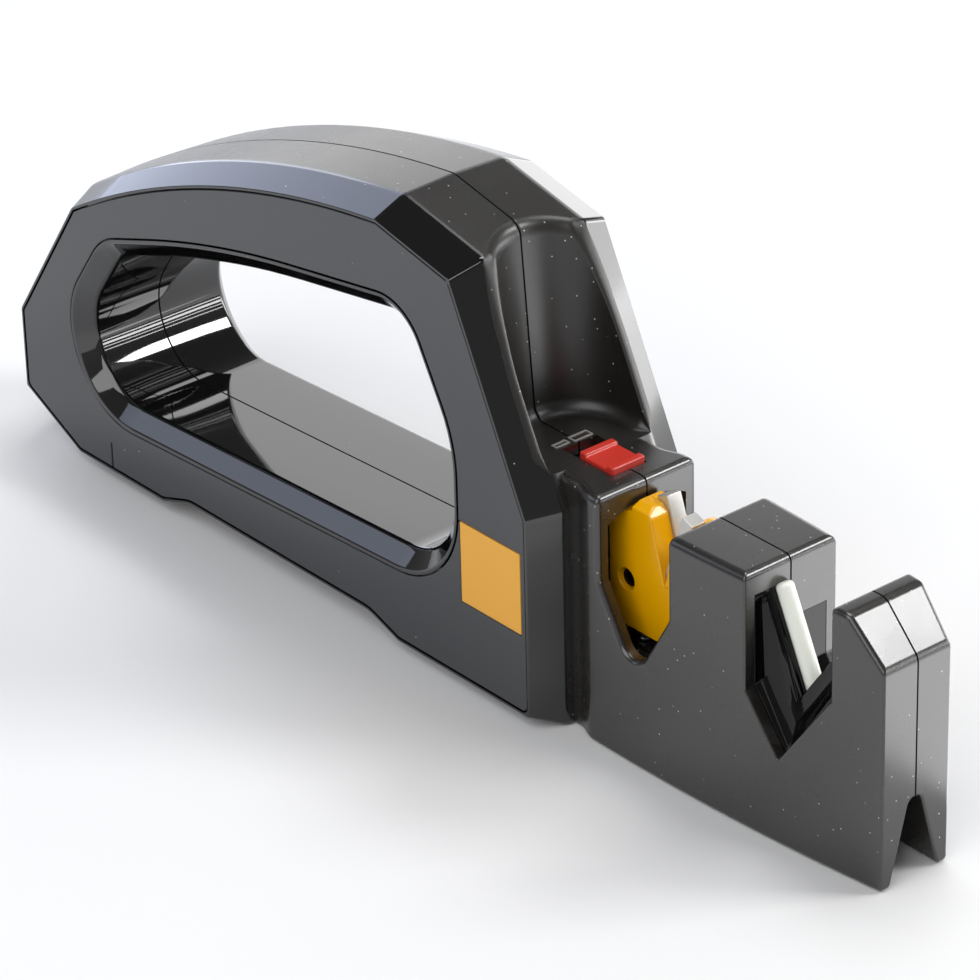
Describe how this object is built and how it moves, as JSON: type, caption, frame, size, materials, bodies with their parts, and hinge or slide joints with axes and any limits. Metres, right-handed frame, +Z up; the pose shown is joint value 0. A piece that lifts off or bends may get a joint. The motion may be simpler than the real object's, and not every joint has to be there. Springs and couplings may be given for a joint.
{
  "type": "manual knife sharpener",
  "caption": "Hand-held knife sharpener: loop handle with side panels, and a slotted nose with crossed carbide bars on a tilting rocker and crossed ceramic rods.",
  "frame": {"origin": "centre of the overall box on the surface it stands on, on the seam between the casing halves", "axes": "+X along the object to the nose tip, +Y to the left of someone pointing the nose away from them, +Z up"},
  "size_m": [0.223, 0.0342, 0.086],
  "materials": {
    "casing_plastic": "satin",
    "panel_plastic": "smooth semi-matte",
    "label_plastic": "flat",
    "rocker_plastic": "gloss",
    "slider_plastic": "gloss",
    "cradle_plastic": "gloss",
    "carbide": "ground",
    "ceramic": "fine matt",
    "steel": "plain",
    "pad_rubber": "matt"
  },
  "bodies": {
    "casing": {"right_casing": "casing_plastic", "left_casing": "casing_plastic", "right_side_panel": "panel_plastic", "left_side_panel": "panel_plastic", "right_label": "label_plastic", "left_label": "label_plastic", "rocker_pin": "steel", "right_centring_spring": "steel", "left_centring_spring": "steel", "rod_cradle": "cradle_plastic", "rear_ceramic_rod": "ceramic", "front_ceramic_rod": "ceramic", "handle_screws": "steel", "nose_screws": "steel", "front_foot_pad": "pad_rubber", "rear_foot_pad": "pad_rubber"},
    "rocker": {"rocker_right_half": "rocker_plastic", "rocker_left_half": "rocker_plastic", "rear_carbide": "carbide", "front_carbide": "carbide", "rocker_screws": "steel"},
    "slider": {"lock_slider": "slider_plastic", "lock_shoe": "pad_rubber", "detent_spring": "steel"}
  },
  "joints": [
    {"name": "rocker_pivot", "type": "hinge", "parent": "casing", "child": "rocker", "pos_m": [0.05575, 0, 0.0264], "axis": [1, 0, 0], "range_deg": [-14, 14], "stiffness_Nm_per_rad": 0.05, "deforming": ["right_centring_spring", "left_centring_spring"]},
    {"name": "lock_slide", "type": "slide", "parent": "casing", "child": "slider", "axis": [1, 0, 0], "range_m": [-0.004, 0]}
  ]
}
